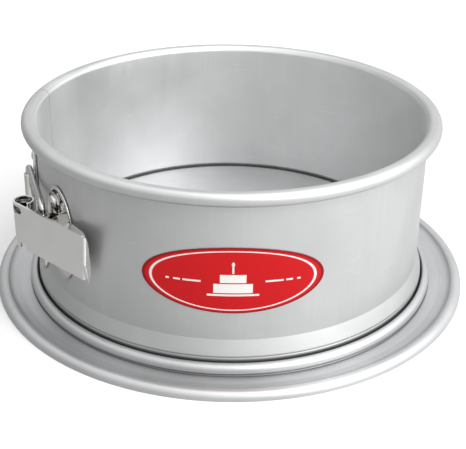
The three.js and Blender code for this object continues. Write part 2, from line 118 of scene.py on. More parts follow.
LEVER_BRACKET_AZIMUTH, CATCH_BRACKET_AZIMUTH = 54, 88
LEVER_RIVET_AZIMUTH, CATCH_RIVET_AZIMUTH = 56, 88
PLATE_HALF_WIDTH = 13.2 * MM
PLATE_SHEET = 1.0 * MM
EAR_SHEET = 1.2 * MM
EAR_INSET = 1.6 * MM
KNUCKLE_BORE, KNUCKLE_RADIUS = 2.8 * MM, 3.85 * MM
RIVET_SPREAD = 15.9 * MM
RIVET_HEAD = 2.9 * MM
RIVET_SHANK = 1.5 * MM

LABEL_AZIMUTH = -0.9
LABEL_HALF_WIDTH = 43.3 * MM
LABEL_GAP = 0.15 * MM
LABEL_SHEET = 0.3 * MM

# How far a cutting tool goes past what it cuts.
MARGIN = 1 * MM


# ---- Strengths of the light -------------------------------------------------------------
# The surroundings low down and high up, on the left and on the right, and their share behind the pan.
LOW_LEFT, LOW_RIGHT = 0.52, 1.55
HIGH_LEFT, HIGH_RIGHT = 1.2, 1.9
BEHIND_SHARE = 0.75
KEY_DIRECTION, KEY_STRENGTH = (0.56, -0.30, 0.77), 3.1
WHITE_TO_THE_EYE = 1.1
TOP_POWER, RIGHT_POWER = 5, 24


# ---- Lines and outlines -----------------------------------------------------------------
def polar(radius, azimuth, z=0.0):
    angle = math.radians(azimuth)
    return Vector((-radius * math.sin(angle), -radius * math.cos(angle), z))


def arc(x, y, radius, start, stop, steps):
    """Points on an arc, angles in degrees, both ends included."""
    points = []
    for i in range(steps + 1):
        angle = math.radians(start + (stop - start) * i / steps)
        points.append((x + radius * math.cos(angle), y + radius * math.sin(angle)))
    return points


def fillet(before, corner, after, radius):
    """The rounded corner between two straight lines, as points."""
    steps = 5
    corner = Vector(corner)
    back = (Vector(before) - corner).normalized()
    ahead = (Vector(after) - corner).normalized()
    half = back.angle(ahead) / 2
    centre = corner + (back + ahead).normalized() * radius / math.sin(half)
    start = corner + back * radius / math.tan(half) - centre
    stop = corner + ahead * radius / math.tan(half) - centre
    turn = start.angle_signed(stop)
    return [tuple(centre + Matrix.Rotation(-turn * i / steps, 2) @ start) for i in range(steps + 1)]


def rounded(line, radii):
    """A line of points with each inner corner rounded by the radius given for it."""
    points = [line[0]]
    for i, radius in enumerate(radii, start=1):
        if radius:
            points += fillet(line[i - 1], line[i], line[i + 1], radius)
        else:
            points.append(line[i])
    return points + [line[-1]]


def sheet(line, thickness):
    """A closed outline: the line, and its copy offset to the right-hand side."""
    sharpest_mitre = 0.5
    points = [Vector(p) for p in line]
    offset = []
    for i, point in enumerate(points):
        arriving = (point - points[i - 1]).normalized() if i else None
        leaving = (points[i + 1] - point).normalized() if i + 1 < len(points) else arriving
        arriving = arriving or leaving
        mitre = (arriving + leaving).normalized()
        reach = thickness / max(mitre.dot(leaving), sharpest_mitre)
        offset.append((point.x + mitre.y * reach, point.y - mitre.x * reach))
    return [tuple(p) for p in points] + offset[::-1]


# ---- Meshes -----------------------------------------------------------------------------
def shade(bm, sharp):
    """Makes faces smooth, and keeps edges sharper than an angle in degrees crisp."""
    for face in bm.faces:
        face.smooth = True
    for edge in bm.edges:
        if len(edge.link_faces) == 2:
            edge.smooth = edge.calc_face_angle(0) < math.radians(sharp)


def finish_mesh(name, bm):
    """Turns a bmesh into an object."""
    bmesh.ops.remove_doubles(bm, verts=bm.verts, dist=1e-7)
    bmesh.ops.recalc_face_normals(bm, faces=bm.faces)
    shade(bm, 32)
    mesh = bpy.data.meshes.new(name)
    bm.to_mesh(mesh)
    bm.free()
    piece = bpy.data.objects.new(name, mesh)
    bpy.context.scene.collection.objects.link(piece)
    return piece


def skin(name, rings, closed_rings=False, closed_ends=True):
    """An object of rings of points joined with quads, with a face on its first and last ring."""
    bm = bmesh.new()
    rows = [[bm.verts.new(p) for p in ring] for ring in rings]
    pairs = list(zip(rows, rows[1:]))
    if closed_rings:
        pairs.append((rows[-1], rows[0]))
    for one, two in pairs:
        for i in range(len(one)):
            j = (i + 1) % len(one)
            bm.faces.new((one[i], one[j], two[j], two[i]))
    if closed_ends:
        bm.faces.new(rows[0])
        bm.faces.new(rows[-1])
    return finish_mesh(name, bm)


def turned(name, outline, segments, start=0.0, sweep=360.0):
    """A closed (radius, height) outline turned about Z, all round or through part of a turn."""
    whole = sweep >= 360
    count = segments if whole else segments + 1
    rings = []
    for i in range(count):
        azimuth = start + sweep * i / segments
        rings.append([polar(r, azimuth, z) for r, z in outline])
    return skin(name, rings, closed_rings=whole, closed_ends=not whole)


def spindle(name, outline):
    """A small solid of revolution about Z whose outline starts and ends on the axis."""
    segments, axis = 48, 1e-6
    rings = []
    for r, z in outline:
        ring = [polar(max(r, axis), 360 * i / segments, z) for i in range(segments)]
        rings.append(ring)
    return skin(name, rings)


def raised(name, outline, low, high):
    """A flat outline in XY raised from one height to another."""
    return skin(name, [[Vector((x, y, z)) for x, y in outline] for z in (low, high)])


def curved_oval(name, inner, profile, azimuth, middle, half_width, half_height, steps=96):
    """An oval plate that follows the wall. profile is (inset, height) pairs from face to back."""
    rings = []
    for inset, height in profile:
        ring = []
        for i in range(steps):
            angle = math.tau * i / steps
            across = (half_width - inset * half_width) * math.cos(angle)
            up = (half_height - inset * half_height) * math.sin(angle)
            ring.append(polar(inner + height, azimuth + math.degrees(across / inner), middle + up))
        rings.append(ring)
    return skin(name, rings)


def oval_profile(thickness, edge, crown=0.0):
    """(inset, height) pairs: a face with a slight crown, a rounded edge and a flat back."""
    face_rows, rim_rows, nearly_all = 8, 5, 0.999
    skirt, foot = 0.45, 0.15
    face = []
    for i in range(face_rows + 1):
        share = i / face_rows
        inset = 1 - (1 - edge) * share * nearly_all
        face.append((inset, thickness + crown * (1 - share ** 2)))
    rim = [(edge * (1 - math.sin(a)), thickness * (skirt + (1 - skirt) * math.cos(a)))
           for a in (math.pi / 2 * i / rim_rows for i in range(1, rim_rows + 1))]
    back = [(0.0, thickness * foot), (edge * 0.4, 0.0), (0.5, 0.0), (nearly_all, 0.0)]
    return face + rim + back


def place(piece, matrix):
    """Moves a piece by changing its points, so that its object stays at the origin."""
    piece.data.transform(matrix)
    return piece


def outwards(azimuth, z):
    """The matrix that turns +Z to point outwards at an azimuth, at a height, with +X down."""
    turn = Matrix.Rotation(math.radians(270 - azimuth), 4, "Z") @ Matrix.Rotation(math.pi / 2, 4, "Y")
    return Matrix.Translation((0, 0, z)) @ turn


def apply_modifiers(piece):
    """Bakes a piece's modifiers into its mesh."""
    depsgraph = bpy.context.evaluated_depsgraph_get()
    mesh = bpy.data.meshes.new_from_object(piece.evaluated_get(depsgraph))
    piece.modifiers.clear()
    piece.data = mesh


def combine(piece, tools, operation):
    """Joins or cuts a piece with others, and removes the others."""
    for tool in tools:
        modifier = piece.modifiers.new("combine", "BOOLEAN")
        modifier.operation = operation
        modifier.solver = "EXACT"
        modifier.object = tool
        apply_modifiers(piece)
        bpy.data.objects.remove(tool)
    return piece


def weld(piece, distance):
    """Merges the corners that joined pieces leave closer together than a distance."""
    modifier = piece.modifiers.new("weld", "WELD")
    modifier.merge_threshold = distance
    apply_modifiers(piece)


def soften(piece, width):
    """Rounds every sharp edge, as a pressed or tumbled part has."""
    modifier = piece.modifiers.new("soften", "BEVEL")
    modifier.width = width
    modifier.segments = 2
    modifier.limit_method = "ANGLE"
    modifier.angle_limit = math.radians(35)
    apply_modifiers(piece)
    bm = bmesh.new()
    bm.from_mesh(piece.data)
    shade(bm, 40)
    bm.to_mesh(piece.data)
    bm.free()
    piece.modifiers.new("flatten", "WEIGHTED_NORMAL").keep_sharp = True
    apply_modifiers(piece)


# ---- Node trees -------------------------------------------------------------------------
class Nodes:
    """A little help for writing a node tree. Inputs are sockets or plain values."""

    def __init__(self, tree):
        self.tree = tree

    def add(self, kind, inputs=None, **settings):
        node = self.tree.nodes.new(kind)
        for key, value in settings.items():
            setattr(node, key, value)
        for key, value in (inputs or {}).items():
            if isinstance(value, bpy.types.NodeSocket):
                self.tree.links.new(value, node.inputs[key])
            else:
                node.inputs[key].default_value = value
        return node

    def maths(self, operation, a, b=0.0):
        return self.add("ShaderNodeMath", {0: a, 1: b}, operation=operation).outputs[0]

    def ramp(self, factor, low, high, from_value=0.0, to_value=1.0):
        """A linear map of factor, from low..high to from_value..to_value, clamped."""
        node = self.add("ShaderNodeMapRange", {"Value": factor, "From Min": low, "From Max": high,
                                               "To Min": from_value, "To Max": to_value})
        return node.outputs["Result"]

    def blend(self, factor, a, b):
        """A number between two others."""
        return self.add("ShaderNodeMix", {0: factor, 2: a, 3: b}).outputs[0]

    def mix(self, factor, a, b):
        """A colour between two others, each a socket or a triple."""
        a, b = (value if isinstance(value, bpy.types.NodeSocket) else (*value, 1) for value in (a, b))
        return self.add("ShaderNodeMix", {0: factor, 6: a, 7: b}, data_type="RGBA").outputs[2]


class Surface(Nodes):
    """The node tree of a new material."""

    def __init__(self, name):
        self.material = bpy.data.materials.new(name)
        self.material.use_nodes = True
        super().__init__(self.material.node_tree)
        self.shader = self.tree.nodes["Principled BSDF"]

    def noise(self, vector, scale, detail=3.0, roughness=0.55):
        node = self.add("ShaderNodeTexNoise", {"Vector": vector, "Scale": scale, "Detail": detail,
                                               "Roughness": roughness})
        return node.outputs["Fac"]

    def stretched(self, vector, scale):
        return self.add("ShaderNodeMapping", {"Vector": vector, "Scale": scale}).outputs[0]

    def scaled(self, colour, gain):
        """A colour made paler or darker by a factor."""
        return self.add("ShaderNodeVectorMath", {0: colour, 3: gain}, operation="SCALE").outputs[0]

    def link(self, value, socket):
        self.tree.links.new(value, self.shader.inputs[socket])

    def set(self, socket, value):
        self.shader.inputs[socket].default_value = value

    def bump(self, height, strength, distance):
        node = self.add("ShaderNodeBump", {"Height": height, "Strength": strength, "Distance": distance})
        self.link(node.outputs[0], "Normal")

    def point(self):
        """The point on the object, in metres."""
        return self.add("ShaderNodeTexCoord").outputs["Object"]

    def point_round_axis(self):
        """The point's arc length, height and radius round the pan's axis, in metres."""
        x, y, z = self.add("ShaderNodeSeparateXYZ", {0: self.point()}).outputs
        azimuth = self.maths("ARCTAN2", self.maths("MULTIPLY", x, -1.0), self.maths("MULTIPLY", y, -1.0))
        radius = self.maths("SQRT", self.maths("ADD", self.maths("MULTIPLY", x, x),
                                               self.maths("MULTIPLY", y, y)))
        return self.maths("MULTIPLY", azimuth, WALL_OUTER), z, radius


# ---- Materials --------------------------------------------------------------------------
def toned(colour, gain):
    return tuple(min(c * gain, 1) for c in colour)


def painted_shade_band(n, radius, z, inner, outer, top, deep):
    """1 between two radii and below a height, 0 elsewhere: the mask for painted shade in hollows."""
    soft = 0.3 * MM
    across = n.maths("MULTIPLY", n.ramp(radius, inner - soft, inner + soft),
                     n.ramp(radius, outer + soft, outer - soft))
    return n.maths("MULTIPLY", across, n.ramp(z, top, deep))


def with_painted_light_and_shade(n, colour, radius, z, inside_painted_light_gain):
    """The colour with painted light and painted shade: paler on the face inside the wall, darker in the
    groove and at the ridge's foot.
    """
    # Painted light: the face inside the wall is made paler by a gain, standing in for the brighter light
    # inside the pan.
    inside = n.ramp(radius, WALL_INNER + 0.8 * MM, WALL_INNER + 0.3 * MM)
    colour = n.mix(inside, colour, n.scaled(colour, inside_painted_light_gain))
    # Painted shade: the groove under the ring's flare and the ridge's foot are darkened to 0.3 of the colour.
    groove = painted_shade_band(n, radius, z, inner=103.8 * MM, outer=107.2 * MM, top=9.2 * MM, deep=6.0 * MM)
    ridge_foot_painted_shade = painted_shade_band(n, radius, z, inner=109.8 * MM, outer=110.9 * MM, top=2.6 * MM, deep=1.8 * MM)
    return n.mix(n.maths("MAXIMUM", groove, ridge_foot_painted_shade), colour, n.scaled(colour, 0.3))


def anodised(name, tint, roughness, stretch, inside_painted_light_gain=1.0):
    """Satin anodised aluminium: fine drawn grain, a soft blotchy bloom and faint rubbed marks.

    stretch is the grain's in (arc, height, radius): its short direction has the larger value.
    """
    n = Surface(name)
    around, z, radius = n.point_round_axis()
    rolled = n.add("ShaderNodeCombineXYZ", {0: around, 1: z, 2: radius}).outputs[0]
    where = n.point()
    grain = n.noise(n.stretched(rolled, stretch), 1.0, 4.0, 0.65)
    speck = n.noise(where, 2600.0, 2.0)
    bloom = n.noise(where, 22.0)
    rub = n.noise(n.stretched(rolled, (40.0, 300.0, 300.0)), 1.0, 5.0, 0.7)
    rubbed = n.ramp(rub, 0.60, 0.72)

    colour = n.mix(n.ramp(bloom, 0.3, 0.7), toned(tint, 0.93), toned(tint, 1.07))
    colour = n.mix(n.ramp(grain, 0.35, 0.65, 0.0, 0.15), colour, toned(tint, 0.90))
    colour = n.mix(n.maths("MULTIPLY", rubbed, 0.10), colour, (0.80, 0.80, 0.79))
    n.link(with_painted_light_and_shade(n, colour, radius, z, inside_painted_light_gain), "Base Color")

    rough = n.maths("ADD", n.ramp(bloom, 0.3, 0.7, roughness - 0.03, roughness + 0.04),
                    n.ramp(grain, 0.3, 0.7, -0.03, 0.03))
    n.link(n.maths("SUBTRACT", rough, n.maths("MULTIPLY", rubbed, 0.03)), "Roughness")
    n.set("Metallic", 0.85)
    height = n.maths("ADD", n.maths("MULTIPLY", grain, 0.6), n.maths("MULTIPLY", speck, 0.4))
    n.bump(height, 0.10, 0.05 * MM)
    return n.material


def polished_steel(name, tint, roughness, stretch, relief=0.12):
    """Bright stainless steel: hairline marks and a little haze."""
    n = Surface(name)
    where = n.point()
    hairs = n.noise(n.stretched(where, stretch), 1.0, 5.0, 0.75)
    haze = n.noise(where, 90.0)
    n.link(n.mix(n.ramp(haze, 0.3, 0.7), toned(tint, 0.95), tint), "Base Color")
    rough = n.maths("ADD", n.ramp(haze, 0.35, 0.75, roughness, roughness + 0.07),
                    n.ramp(hairs, 0.45, 0.75, 0.0, 0.06))
    n.link(rough, "Roughness")
    n.set("Metallic", 1.0)
    n.bump(hairs, relief, 0.04 * MM)
    return n.material


def ellipse_distance(n, across, up, half_width, half_height):
    """0 at the middle of an oval and 1 on its edge."""
    a = n.maths("DIVIDE", across, half_width)
    b = n.maths("DIVIDE", up, half_height)
    return n.maths("SQRT", n.maths("ADD", n.maths("MULTIPLY", a, a), n.maths("MULTIPLY", b, b)))


def inside_box(n, across, up, middle_x, middle_y, half_x, half_y):
    """1 inside a box on the label, 0 outside, with a slightly soft edge."""
    edge = 0.08 * MM
    dx = n.maths("SUBTRACT", half_x, n.maths("ABSOLUTE", n.maths("SUBTRACT", across, middle_x)))
    dy = n.maths("SUBTRACT", half_y, n.maths("ABSOLUTE", n.maths("SUBTRACT", up, middle_y)))
    return n.ramp(n.maths("MINIMUM", dx, dy), -edge, edge)


def cake_mark(n, across, up):
    """1 on a board, two tiers, a candle with its flame, and a row of dashes on each side."""
    stack = ((-7.4, 12.0, 0.5), (-3.9, 9.0, 2.4), (1.2, 6.0, 2.1), (5.6, 0.45, 1.7))
    dashes = ((19.0, 4.2), (26.0, 1.6), (30.5, 0.8))
    boxes = [(0.0, middle_y, half_x, half_y) for middle_y, half_x, half_y in stack]
    boxes += [(side * middle_x, -0.5, half_x, 0.45) for side in (-1, 1) for middle_x, half_x in dashes]
    flame = ellipse_distance(n, across, n.maths("SUBTRACT", up, 8.6 * MM), 0.7 * MM, 1.3 * MM)
    mark = n.ramp(flame, 1.05, 0.9)
    for box in boxes:
        mark = n.maths("MAXIMUM", mark, inside_box(n, across, up, *(size * MM for size in box)))
    return mark


def label_print(name):
    """A red oval with a pale keyline and a plain two-tier cake, with no words or marks."""
    red, bright_red, deep_red = (0.36, 0.003, 0.005), (0.44, 0.004, 0.006), (0.18, 0.002, 0.004)
    cream = (0.55, 0.54, 0.52)
    n = Surface(name)
    around, z, _ = n.point_round_axis()
    across = n.maths("SUBTRACT", n.maths("MULTIPLY", around, -1.0), -math.radians(LABEL_AZIMUTH) * WALL_OUTER)
    up = n.maths("SUBTRACT", z, LABEL_MIDDLE)
    reach = ellipse_distance(n, across, up, LABEL_HALF_WIDTH, LABEL_HALF_HEIGHT)
    colour = n.mix(n.ramp(up, -16 * MM, 16 * MM, 0.0, 0.25), red, bright_red)
    keyline = n.maths("MULTIPLY", n.ramp(reach, 0.875, 0.885), n.ramp(reach, 0.915, 0.905))
    colour = n.mix(keyline, colour, cream)
    colour = n.mix(n.ramp(reach, 0.955, 0.965), colour, deep_red)
    n.link(n.mix(cake_mark(n, across, up), colour, cream), "Base Color")
    where = n.point()
    n.link(n.ramp(n.noise(where, 60.0), 0.3, 0.7, 0.26, 0.36), "Roughness")
    n.set("Specular IOR Level", 0.15)
    n.bump(n.noise(where, 900.0, 2.0), 0.06, 0.05 * MM)
    return n.material


# The ring's inside face is made 1.42 times paler as painted light; both metals carry painted shade in the
# groove and at the ridge's foot.
RING_METAL = anodised("ring_satin", (0.46, 0.465, 0.465), 0.42, (900.0, 9.0, 900.0), inside_painted_light_gain=1.42)
BASE_METAL = anodised("base_satin", (0.44, 0.445, 0.45), 0.44, (12.0, 700.0, 900.0))
BRACKET_STEEL = polished_steel("bracket_polished", (0.60, 0.59, 0.57), 0.06, (500.0, 500.0, 20.0))
LEVER_STEEL = polished_steel("lever_polished", (0.76, 0.755, 0.74), 0.17, (500.0, 500.0, 16.0), relief=0.03)
WIRE_STEEL = polished_steel("wire_drawn", (0.46, 0.455, 0.445), 0.16, (700.0, 700.0, 14.0))
RIVET_STEEL = polished_steel("rivet_bright", (0.66, 0.655, 0.64), 0.12, (300.0, 300.0, 300.0))
# The pin's near-black steel is painted shade for the dark inside of the lever's curl.
PIN_PAINTED_SHADE = polished_steel("pin_painted_shade", (0.16, 0.158, 0.155), 0.25, (300.0, 300.0, 300.0))
LABEL_PRINT = label_print("label_print")


def dress(piece, body, slot_name, material, *nodes):
    """Gives a piece its material and body, and hides the CAD nodes it stands for. The slot name is not used.
    """
    piece.data.materials.clear()
    piece.data.materials.append(material)
    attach(piece, body)
    if nodes:
        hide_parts(*nodes)


# ---- Ring -------------------------------------------------------------------------------
def ring_line():
    """The ring's inner face from the lip up, over the rolled rim and back under it."""
    roll, crown = 3.25 * MM, 1.3 * MM
    roll_z = RING_TOP - roll
    lip = WALL_INNER + 3.1 * MM
    waist, hip = lip - 0.45 * MM, lip - 0.25 * MM
    lip_z, waist_z, hip_z, flare_z = (LIP_BOTTOM + rise * MM for rise in (4.6, 5.4, 6.3, 13.7))
    foot = rounded(
        [(lip, LIP_BOTTOM), (lip, lip_z), (waist, waist_z), (hip, hip_z), (WALL_INNER, flare_z),
         (WALL_INNER, roll_z - 6 * MM)],
        [0.5 * MM, 0.3 * MM, 0.3 * MM, 2.5 * MM])
    inner = arc(WALL_INNER + roll, roll_z, roll, 180, 90, 14)
    outer = arc(WALL_INNER + roll + crown, roll_z, roll, 90, -118, 26)
    return foot + inner + outer


def make_wall():
    """The wall, split at its seam."""
    start = SEAM_AZIMUTH + SEAM_HALF_GAP
    sweep = 360 - 2 * SEAM_HALF_GAP
    wall = turned("ring_shell", sheet(ring_line(), WALL_SHEET), segments=300, start=start, sweep=sweep)
    dress(wall, "ring", "ring_metal", RING_METAL, "ring_band")


def make_tongue():
    """The tongue outside the wall that laps past the seam, under the catch bracket."""
    corner = 0.4 * MM
    outline = [(TONGUE_INNER, TONGUE_LOW), (TONGUE_INNER, TONGUE_HIGH),
               (TONGUE_OUTER - corner, TONGUE_HIGH), (TONGUE_OUTER, TONGUE_HIGH - corner),
               (TONGUE_OUTER, TONGUE_LOW + corner), (TONGUE_OUTER - corner, TONGUE_LOW)]
    sweep = TONGUE_ROOT - TONGUE_END
    tongue = turned("ring_tongue", outline, segments=40, start=TONGUE_END, sweep=sweep)
    soften(tongue, 0.12 * MM)
    dress(tongue, "ring", "ring_metal", RING_METAL)


# ---- Base plate -------------------------------------------------------------------------
def base_line():
    """The base's upper face from the centre out: floor, shoulder, groove, ridge, trough, rolled rim."""
    floor_edge, shoulder, groove, groove_z = 98 * MM, 100.9 * MM, 104.1 * MM, 2.3 * MM
    ridge_x, ridge_z, ridge_radius, bead = 107.8 * MM, 5.2 * MM, 1.4 * MM, 3.0 * MM
    trough_start, trough_stop, apron, apron_rise = 110.5 * MM, 116.5 * MM, 121.0 * MM, 0.8 * MM
    roll, roll_z = 3.6 * MM, 0.6 * MM
    roll_x = BASE_RADIUS - roll
    roll_foot = (roll_x + roll * math.cos(math.radians(132)), 3.05 * MM)
    floor = [(r * MM, FLOOR_HEIGHT) for r in (0.001, 30, 60, 85, 96)]
    inner = rounded(
        [(floor_edge, FLOOR_HEIGHT), (shoulder, FLOOR_HEIGHT), (groove, groove_z),
         (ridge_x - ridge_radius, groove_z), (ridge_x - ridge_radius, ridge_z)],
        [1.6 * MM, 0.4 * MM, 0.4 * MM])
    ridge = arc(ridge_x, ridge_z, ridge_radius, 180, 90, 8)
    ridge += arc(ridge_x, ridge_z + ridge_radius - bead, bead, 80, -40, 16)
    trough = rounded(
        [ridge[-1], (trough_start, BASE_SHEET), (trough_stop, BASE_SHEET), (apron, BASE_SHEET + apron_rise),
         roll_foot],
        [0, 9 * MM, 5 * MM])[1:]
    rim = arc(roll_x, roll_z, roll, 128, 0, 20) + [(BASE_RADIUS, 0.0)]
    return floor + inner + ridge + trough + rim


def make_base():
    base = turned("base_shell", sheet(base_line(), BASE_SHEET), segments=320)
    dress(base, "base", "base_metal", BASE_METAL, "base_plate")


# ---- Brackets, rivets and pin -----------------------------------------------------------
LEVER_FRAME = Matrix.Rotation(math.radians(180 - LEVER_AZIMUTH), 4, "Z")
HINGE = LEVER_FRAME @ Vector((CURL_X, CURL_Y, 0))
HINGE_AZIMUTH = math.degrees(math.atan2(-HINGE.x, -HINGE.y))


def tube(name, centre, bore, radius, low, high):
    """A short tube about a vertical axis, with rounded ends."""
    lip = 0.25 * MM
    outline = [(bore, low + lip), (bore + lip, low), (radius - lip, low), (radius, low + lip),
               (radius, high - lip), (radius - lip, high), (bore + lip, high), (bore, high - lip)]
    return place(turned(name, outline, segments=48), Matrix.Translation((centre.x, centre.y, 0)))


def radial_block(name, azimuth, from_radius, to_radius, width, low, high):
    """A block that stands out from the wall."""
    half, tall = width / 2, (high - low) / 2
    outline = [(-tall, -half), (tall, -half), (tall, half), (-tall, half)]
    return place(raised(name, outline, from_radius, to_radius), outwards(azimuth, (low + high) / 2))


def wall_strap(name, inner, outer, low, high, start, stop):
    """A strap that follows the wall between two azimuths."""
    outline = [(inner, low), (outer, low), (outer, high), (inner, high)]
    return turned(name, outline, segments=24, start=start, sweep=stop - start)


def stop_ear(name, low):
    """A small ear that stands out from the bracket and stops the closed lever."""
    tip, face, length, depth = 7.2 * MM, 109.1 * MM, 12.8 * MM, 2.7 * MM
    root_start, root_stop = 6.3 * MM, 13.8 * MM
    root_radius = WALL_OUTER + FACE_GAP + PLATE_SHEET / 2
    roots = [(tip + x, math.sqrt(root_radius ** 2 - (tip + x) ** 2)) for x in (root_start, root_stop)]
    outline = roots + [(tip + length, face), (tip, face), (tip, face - depth)]
    return place(raised(name, outline, low, low + EAR_SHEET), LEVER_FRAME)


def bracket_plate(name, inner, azimuth):
    """The slightly crowned oval plate that each bracket is built on."""
    profile = oval_profile(PLATE_SHEET, edge=0.06, crown=0.25 * MM)
    return curved_oval(name, inner, profile, azimuth, PLATE_MIDDLE, PLATE_HALF_WIDTH, PLATE_HALF_HEIGHT)


def make_lever_bracket():
    """The oval plate, a strap and a web to the knuckle of the hinge, and two ears."""
    inner = WALL_OUTER + FACE_GAP
    low, high = LATCH_MIDDLE - 3 * MM, LATCH_MIDDLE + 3 * MM
    strap_inner, strap_outer = inner + 0.15 * MM, inner + PLATE_SHEET - 0.12 * MM
    strap_end = HINGE_AZIMUTH + 2
    web_end, web_width, web_inset = HINGE.length - 3.3 * MM, 4 * MM, 0.4 * MM
    plate = bracket_plate("lever_bracket_plate", inner, LEVER_BRACKET_AZIMUTH)
    parts = [
        wall_strap("strap", strap_inner, strap_outer, low, high, LEVER_BRACKET_AZIMUTH, strap_end),
        radial_block("web", HINGE_AZIMUTH, inner + FACE_GAP, web_end, web_width,
                     low + web_inset, high - web_inset),
        tube("knuckle", HINGE, KNUCKLE_BORE, KNUCKLE_RADIUS, low, high),
        stop_ear("ear_upper", LEVER_HIGH - EAR_INSET - EAR_SHEET),
        stop_ear("ear_lower", LEVER_LOW + EAR_INSET),
    ]
    combine(plate, parts, "UNION")
    weld(plate, 0.06 * MM)
    soften(plate, 0.15 * MM)
    dress(plate, "ring", "bracket_steel", BRACKET_STEEL, "lever_bracket")


def make_catch_bracket():
    """The oval plate and a web to the barrel that the bail turns in."""
    inner = TONGUE_OUTER + FACE_GAP
    low, high = BARREL_MIDDLE - BARREL_HALF_LENGTH, BARREL_MIDDLE + BARREL_HALF_LENGTH
    bore, radius = WIRE_RADIUS + 0.15 * MM, 2.7 * MM
    web_end, web_width, web_inset = BARREL_DISTANCE - 2.1 * MM, 2.6 * MM, 1 * MM
    plate = bracket_plate("catch_bracket_plate", inner, CATCH_BRACKET_AZIMUTH)
    web = radial_block("web", BARREL_AZIMUTH, inner + FACE_GAP, web_end, web_width,
                       low + web_inset, high - web_inset)
    barrel = tube("barrel", polar(BARREL_DISTANCE, BARREL_AZIMUTH), bore, radius, low, high)
    combine(plate, [web, barrel], "UNION")
    soften(plate, 0.2 * MM)
    dress(plate, "ring", "bracket_steel", BRACKET_STEEL, "catch_bracket")


def make_rivet(node, azimuth, z, head_start, tail):
    """A domed rivet with a crisp skirt. tail is its outline up to the shank."""
    dome, skirt, undercut, rows = 1.9 * MM, 0.25 * MM, 0.1 * MM, 10
    cap = [(RIVET_HEAD * math.cos(a), head_start + skirt + (dome - skirt) * math.sin(a))
           for a in (math.pi / 2 * i / rows for i in range(rows + 1))]
    outline = tail + [(RIVET_SHANK, head_start), (RIVET_HEAD - undercut, head_start)] + cap
    rivet = place(spindle(node + "_set", outline), outwards(azimuth, z))
    dress(rivet, "ring", "rivet_steel", RIVET_STEEL, node)


def make_rivets():
    """Two rivets for each bracket: their tails are flat inside the pan, or flush in the tongue."""
    tail, corner = 0.7 * MM, 0.4 * MM
    face = WALL_INNER - FACE_GAP
    flat_tail = [(0, face - tail), (RIVET_HEAD - corner, face - tail), (RIVET_HEAD, face - corner),
                 (RIVET_HEAD, face), (RIVET_SHANK, face)]
    flush_tail = [(0, TONGUE_INNER), (RIVET_SHANK, TONGUE_INNER)]
    for level, side in (("upper", 1), ("lower", -1)):
        z = LATCH_MIDDLE + side * RIVET_SPREAD
        make_rivet("lever_rivet_" + level, LEVER_RIVET_AZIMUTH, z,
                   WALL_OUTER + PLATE_SHEET + FACE_GAP, flat_tail)
        make_rivet("catch_rivet_" + level, CATCH_RIVET_AZIMUTH, z,
                   TONGUE_OUTER + PLATE_SHEET + FACE_GAP, flush_tail)


def make_pin():
    """The hinge pin: a thin waist inside the knuckle between two hollow ends."""
    waist, radius, socket, socket_depth = 2.5 * MM, 3.85 * MM, 2.45 * MM, 4 * MM
    neck, lip = 3.3 * MM, 0.3 * MM
    outline = [
        (0, PIN_LOW + socket_depth), (socket, PIN_LOW + socket_depth), (socket, PIN_LOW + lip),
        (socket + lip, PIN_LOW), (radius - lip, PIN_LOW), (radius, PIN_LOW + lip),
        (radius, LATCH_MIDDLE - neck), (waist, LATCH_MIDDLE - neck),
        (waist, LATCH_MIDDLE + neck), (radius, LATCH_MIDDLE + neck),
        (radius, PIN_HIGH - lip), (radius - lip, PIN_HIGH), (socket + lip, PIN_HIGH),
        (socket, PIN_HIGH - lip), (socket, PIN_HIGH - socket_depth), (0, PIN_HIGH - socket_depth),
    ]
    pin = place(spindle("hinge_pin_turned", outline), Matrix.Translation((HINGE.x, HINGE.y, 0)))
    # Painted shade: the pin gets near-black steel so that the curl's inside reads dark.
    dress(pin, "ring", "rivet_steel", PIN_PAINTED_SHADE, "hinge_pin")


# ---- Lever ------------------------------------------------------------------------------
def lever_sheet():
    """The bent sheet: returned flap, plate and curl. Its finger end leans out towards the top."""
    end = arc(LEVER_TIP + TIP_CORNER, LEVER_FACE - TIP_CORNER, TIP_CORNER, 180, 90, 8)
    curl = arc(CURL_X, CURL_Y, CURL_RADIUS, 90, -200, 48)
    line = [(LEVER_TIP, LEVER_FACE - FLAP_DEPTH - MARGIN)] + end + curl
    body = raised("lever_plate", sheet(line, LEVER_SHEET), TOE_LOW, LEVER_HIGH)
    for vertex in body.data.vertices:
        if vertex.co.x < 0:
            lean = (vertex.co.z - LATCH_MIDDLE) / (LEVER_HIGH - LEVER_LOW)
            vertex.co.x -= lean * TIP_LEAN
    return body


def raised_along_x(name, outline, low, high):
    """A flat outline of (height, y) points raised along x."""
    stand = Matrix(((0, 0, -1, 0), (0, 1, 0, 0), (1, 0, 0, 0), (0, 0, 0, 1)))
    return place(raised(name, outline, -high, -low), stand)


def quarter_ellipse(height, reach, depth):
    """A quarter of an ellipse whose middle lies on the lever's face, as (height, y) points."""
    return [(height + reach * x, LEVER_FACE - depth * y) for x, y in arc(0, 0, 1, 0, 90, 16)]


